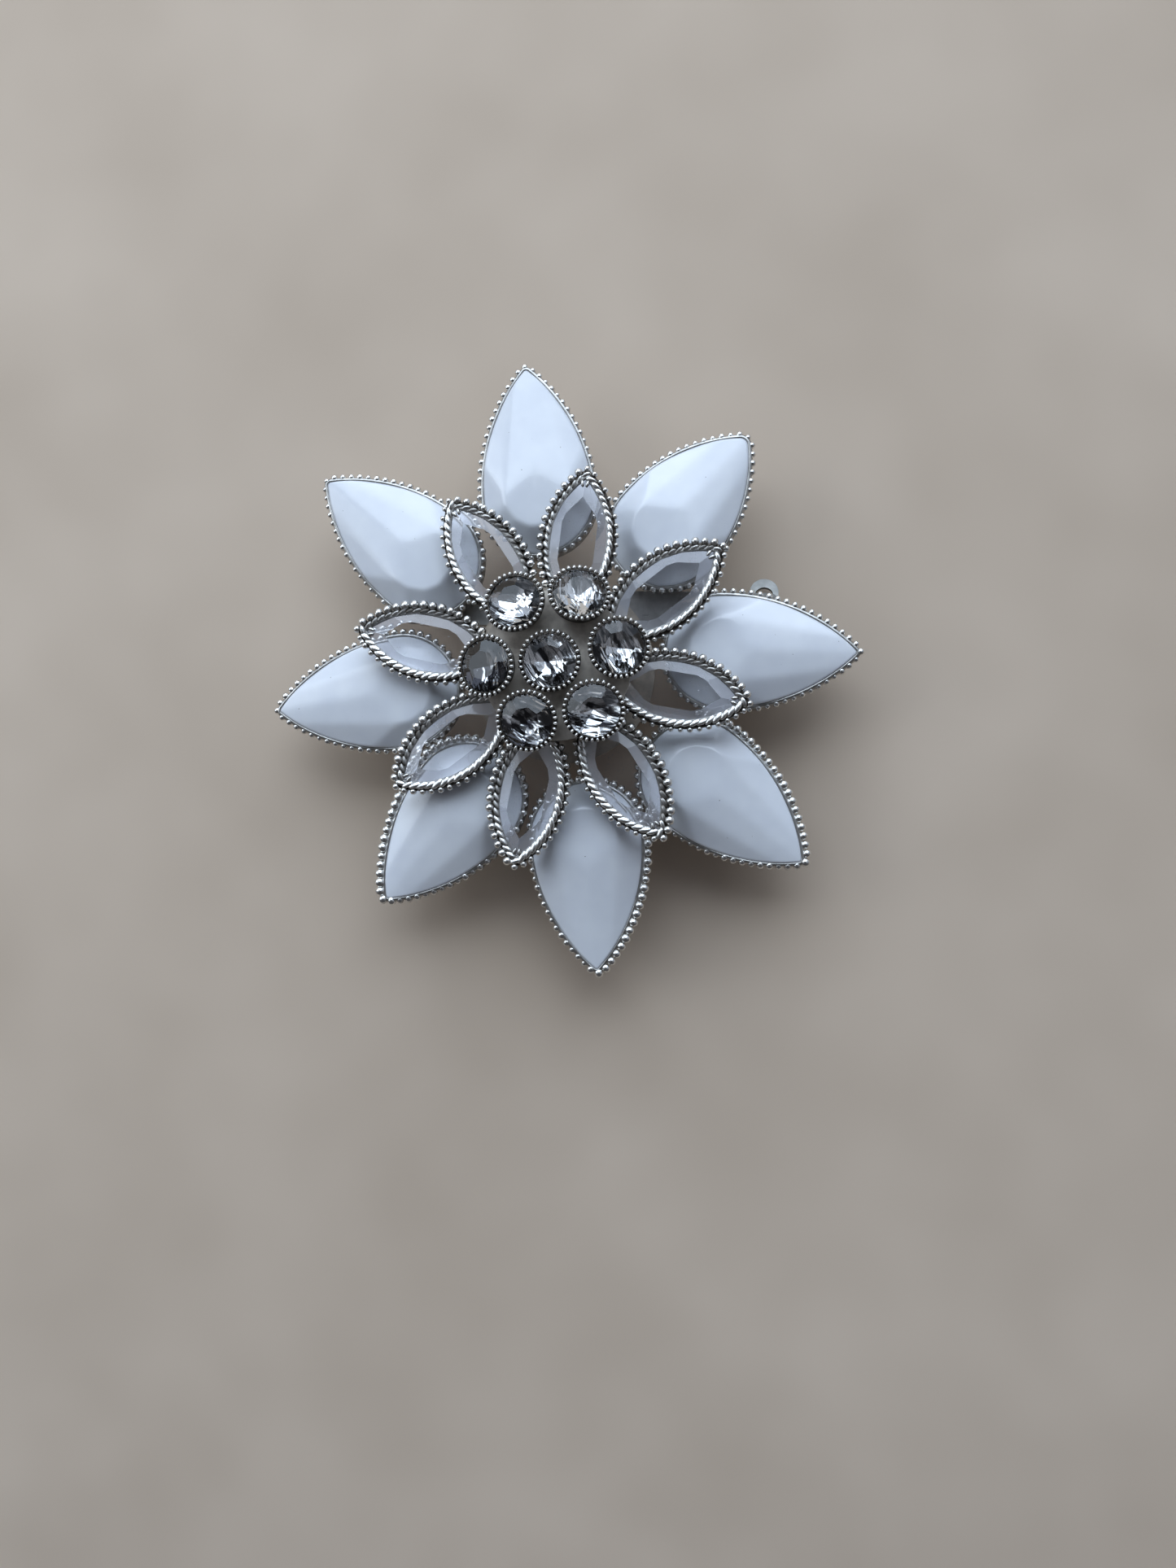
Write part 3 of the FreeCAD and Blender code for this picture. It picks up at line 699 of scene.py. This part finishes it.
def worn_crown():
    """Crown facets of a clear stone, milky with fine wear."""
    shader = Shader("worn_crown", IOR=ACRYLIC_IOR)
    tone_level = shader.noise(size_mm=3.0, detail=2.0)
    scratches = shader.noise(size_mm=0.3, detail=4.0, stretch=(0.3, 1.0, 1.0))
    shader.feed("Transmission Weight", shader.grey(tone_level, low=0.76, high=0.68))
    shader.feed("Base Color", shader.ramp(tone_level, WORN_TINT))
    shader.feed("Roughness", shader.grey(scratches, low=0.04, high=0.12))
    return shader.material


def crystal():
    """Clear crystal crown."""
    shader = Shader("crystal", Transmission_Weight=1.0, IOR=1.54, Base_Color=(0.98, 0.98, 0.98, 1.0))
    shader.feed("Roughness", shader.grey(shader.noise(size_mm=0.8, detail=3.0), low=0.0, high=0.02))
    shader.bump(shader.noise(size_mm=1.5, detail=1.0), depth_mm=0.004)
    return shader.material


FOIL_WORN = [(0.38, (0.03, 0.03, 0.035)), (0.43, (0.55, 0.56, 0.57)), (0.47, (0.94, 0.95, 0.96))]
FOIL_BRIGHT = (1.0, (0.98, 0.99, 0.99))


def foil(name, turned, tone_level):
    """Crinkled silver foil on the back of a crystal, worn through to dark in streaks."""
    shader = Shader(name, Metallic=1.0)
    worn = shader.noise(size_mm=1.3, roughness=0.6, stretch=(1.0, 0.22, 1.0), distortion=0.3, turn=turned)
    stops = [(position + tone_level, colour) for position, colour in FOIL_WORN]
    shader.feed("Base Color", shader.ramp(worn, stops + [FOIL_BRIGHT]))
    shader.feed("Roughness", shader.grey(shader.noise(size_mm=0.4, detail=3.0), low=0.02, high=0.14))
    crinkle = shader.noise(size_mm=1.7, detail=2.0, stretch=(1.0, 0.25, 1.0), distortion=0.4, turn=turned)
    shader.bump(crinkle, depth_mm=0.26)
    return shader.material


def sheet_metal(name, light, dark, rough):
    """Plated sheet, with cloudy tarnish and brushing along x."""
    shader = Shader(name, Metallic=1.0)
    cloud = shader.noise(size_mm=2.5, detail=5.0, roughness=0.6)
    shader.feed("Base Color", shader.ramp(cloud, [(0.30, dark), (0.62, light)]))
    brushing = shader.noise(size_mm=0.25, detail=4.0, stretch=(0.06, 1.0, 1.0))
    shader.feed("Roughness", shader.grey(brushing, low=rough - 0.08, high=rough + 0.10))
    shader.bump(brushing, depth_mm=0.006)
    return shader.material


# ------------------------------------------------------------------ assembly

SILVER = antique_silver()
WHITE = white_acrylic()
CLEAR = clear_acrylic()
WORN = worn_crown()
CRYSTAL = crystal()
STACK = sheet_metal("stack_metal", (0.66, 0.58, 0.49), (0.34, 0.29, 0.24), 0.48)
NICKEL = sheet_metal("nickel", (0.62, 0.61, 0.59), (0.36, 0.35, 0.33), 0.30)
PLATE_METAL = sheet_metal("plate_metal", (0.86, 0.79, 0.70), (0.42, 0.37, 0.32), 0.46)
TAB_METAL = sheet_metal("tab_metal", (0.30, 0.30, 0.29), (0.15, 0.15, 0.14), 0.46)


def petal_place(petal, outline, z):
    """Matrix that puts an outline's tip at a petal's tip, along the petal's own axis."""
    tip_radius, direction, turned = petal
    heading, axis = math.radians(direction), math.radians(direction + turned)
    x = tip_radius * math.cos(heading) - outline[0] * math.cos(axis)
    y = tip_radius * math.sin(heading) - outline[0] * math.sin(axis)
    return Matrix.Translation((x, y, z)) @ Matrix.Rotation(axis, 4, "Z")


def cup_place(cup, foot_z):
    """Matrix of a cup's rim plane, for a cup that leans outward on its foot's low side."""
    radius, direction, lean = cup
    tilt = math.radians(lean)
    heading = math.radians(direction)
    rim_z = foot_z + CUP_FLOOR_DEPTH * math.cos(tilt) + CUP_FOOT_RADIUS * math.sin(tilt)
    middle = (radius * math.cos(heading), radius * math.sin(heading), rim_z)
    return Matrix.Translation(middle) @ Matrix.Rotation(heading, 4, "Z") @ Matrix.Rotation(tilt, 4, "Y")


def stand_in(made, node):
    """Makes an object stand for a CAD node of the flower."""
    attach(made, "flower")
    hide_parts(node)


def build_outer_tier():
    rim_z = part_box("outer_bezel_1")[1].z / MM
    for number, (petal, row) in enumerate(zip(OUTER_PETALS, BEZEL_ROWS), 1):
        outline = BLUNT_STONE if number == BLUNT_PETAL else WHITE_STONE
        form = outer_bezel(outline, *row, random.Random(BEZEL_SEED + number))
        place = petal_place(petal, outline, rim_z)
        bezel = make_object(f"beaded_bezel_{number}", form, place, [SILVER])
        stand_in(bezel, f"outer_bezel_{number}")
        place = petal_place(petal, outline, rim_z - GIRDLE_DROP)
        stone = make_object(f"white_pear_stone_{number}", white_stone(outline), place, [WHITE])
        stand_in(stone, f"outer_stone_{number}")


def build_inner_tier():
    rim_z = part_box("inner_bezel_1")[1].z / MM
    for number, (petal, (heading, scale)) in enumerate(zip(INNER_PETALS, FRAME_ROWS), 1):
        # The lit side, where the frame's beads are painted lighter, turned into the petal's own frame.
        local = math.radians(heading - petal[1] - petal[2])
        lit_side = (math.cos(local), math.sin(local))
        form = inner_frame(CLEAR_STONE, scale, lit_side, random.Random(FRAME_SEED + number))
        place = petal_place(petal, CLEAR_STONE, rim_z)
        made = make_object(f"beaded_frame_{number}", form, place, [SILVER])
        stand_in(made, f"inner_bezel_{number}")
        place = petal_place(petal, CLEAR_STONE, rim_z - GIRDLE_DROP)
        stone = make_object(f"clear_navette_stone_{number}", clear_stone(CLEAR_STONE), place,
                            [CLEAR, WORN], flat=True)
        soften(stone, CLEAR_EDGE, FACET_ANGLE)
        stone.visible_shadow = False        # light goes through a clear stone
        stand_in(stone, f"inner_stone_{number}")


def build_cups():
    for number, (cup, streaks) in enumerate(zip(CUPS, FOILS), 1):
        under = "centre_rivet" if number == 1 else "cluster_plate"
        foot_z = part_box(under)[1].z / MM
        chance = random.Random(CUP_SEED + number)
        place = cup_place(cup, foot_z)
        made = make_object(f"beaded_cup_{number}", round_cup(chance), place, [SILVER])
        stand_in(made, f"round_cup_{number}")
        spin = chance.uniform(0.0, 360.0 / ROUND_SIDES)
        spun = place @ Matrix.Rotation(math.radians(spin), 4, "Z")
        backing = foil(f"foil_{number}", *streaks)
        stone = make_object(f"crystal_{number}", round_stone(), spun, [CRYSTAL, backing], flat=True)
        stand_in(stone, f"round_stone_{number}")


def soften(made, width, angle):
    """Rounds an object's edges that turn more than an angle."""
    bevel = made.modifiers.new("soft_edges", "BEVEL")
    bevel.width = width * MM
    bevel.segments = 2
    bevel.limit_method = "ANGLE"
    bevel.angle_limit = math.radians(angle)


def dress(node, material, edge=0.0):
    """Gives a shown CAD node its material, and rounds its sharp edges a little."""
    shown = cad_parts[node]
    shown.data.materials.clear()
    shown.data.materials.append(material)
    if edge:
        soften(shown, edge, METAL_ANGLE)


def dress_cad_nodes():
    for node in ("back_plate", "mid_plate", "centre_spacer", "upper_spacer"):
        dress(node, STACK, PLATE_EDGE)
    dress("cluster_plate", PLATE_METAL, PLATE_EDGE)
    dress("centre_rivet", STACK, RIVET_EDGE)
    for node in ("pin_bar", "hinge_bracket", "hinge_rivet", "catch_body"):
        dress(node, NICKEL, PLATE_EDGE)
    dress("catch_roller", TAB_METAL, TAB_EDGE)
    dress("pin_stem", NICKEL)


# ------------------------------------------------------------------ stage, lights and camera

def floor():
    """Pale matt floor that the brooch stands on."""
    shader = Shader("floor", Roughness=0.9)
    shader.feed("Base Color", shader.ramp(shader.noise(size_mm=30.0, detail=2.0), FLOOR_COLOURS))
    mesh = bpy.data.meshes.new("floor")
    corners = [(x * FLOOR_HALF, y * FLOOR_HALF, 0.0) for x, y in ((-1, -1), (1, -1), (1, 1), (-1, 1))]
    mesh.from_pydata(corners, [], [(0, 1, 2, 3)])
    mesh.materials.append(shader.material)
    made = bpy.data.objects.new("floor", mesh)
    made.location.z = cad_box[0].z - FLOOR_GAP
    bpy.context.scene.collection.objects.link(made)


def lamp(name, place, size, watts, colour):
    """Square soft light, turned towards the flower."""
    data = bpy.data.lights.new(name, "AREA")
    data.shape = "SQUARE"
    data.size = size
    data.energy = watts
    data.color = colour
    made = bpy.data.objects.new(name, data)
    made.location = place
    made.rotation_mode = "QUATERNION"
    made.rotation_quaternion = (Vector(LIT_POINT) - Vector(place)).to_track_quat("-Z", "Y")
    bpy.context.scene.collection.objects.link(made)


def lights():
    """A wide cool window light from beyond the flower's top, and weak light from the left and the room."""
    lamp("window", *WINDOW)
    lamp("left_fill", *LEFT_FILL)
    bpy.context.scene.world = room()
    bpy.context.scene.view_settings.view_transform = "Standard"


def room():
    """Even light from a room that is brighter beyond the flower's top and dark straight above it."""
    made = bpy.data.worlds.new("room")
    made.use_nodes = True
    tree = made.node_tree
    coordinates = tree.nodes.new("ShaderNodeTexCoord")
    split = tree.nodes.new("ShaderNodeSeparateXYZ")
    tree.links.new(coordinates.outputs["Generated"], split.inputs["Vector"])
    ramps = []
    for stops, axis in ((ROOM_BEYOND, "Y"), (ROOM_ZENITH, "Z")):
        share = tree.nodes.new("ShaderNodeMapRange")
        share.inputs["From Min"].default_value = -1.0
        tree.links.new(split.outputs[axis], share.inputs["Value"])
        ramps.append(colour_ramp(tree, share.outputs["Result"], stops))
    mix = tree.nodes.new("ShaderNodeMix")
    mix.data_type = "RGBA"
    mix.blend_type = "MULTIPLY"
    mix.inputs["Factor"].default_value = 1.0
    tree.links.new(ramps[0], mix.inputs["A"])
    tree.links.new(ramps[1], mix.inputs["B"])
    tree.links.new(mix.outputs["Result"], tree.nodes["Background"].inputs["Color"])
    tree.nodes["Background"].inputs["Strength"].default_value = 1.0
    return made


def camera():
    """Looks down from close above the flower, a little to its lower right."""
    right = Vector(CAMERA_RIGHT).normalized()
    back = right.cross(Vector(CAMERA_UP)).normalized()
    up = back.cross(right)
    data = bpy.data.cameras.new("camera")
    data.sensor_width = CAMERA_SENSOR
    data.lens = CAMERA_LENS
    data.clip_start = CAMERA_CLIP
    made = bpy.data.objects.new("camera", data)
    turn = Matrix((right, up, back)).transposed().to_4x4()
    made.matrix_world = Matrix.Translation(Vector(CAMERA_PLACE) * MM) @ turn
    bpy.context.scene.collection.objects.link(made)
    bpy.context.scene.camera = made


build_outer_tier()
build_inner_tier()
build_cups()
dress_cad_nodes()
floor()
lights()
camera()
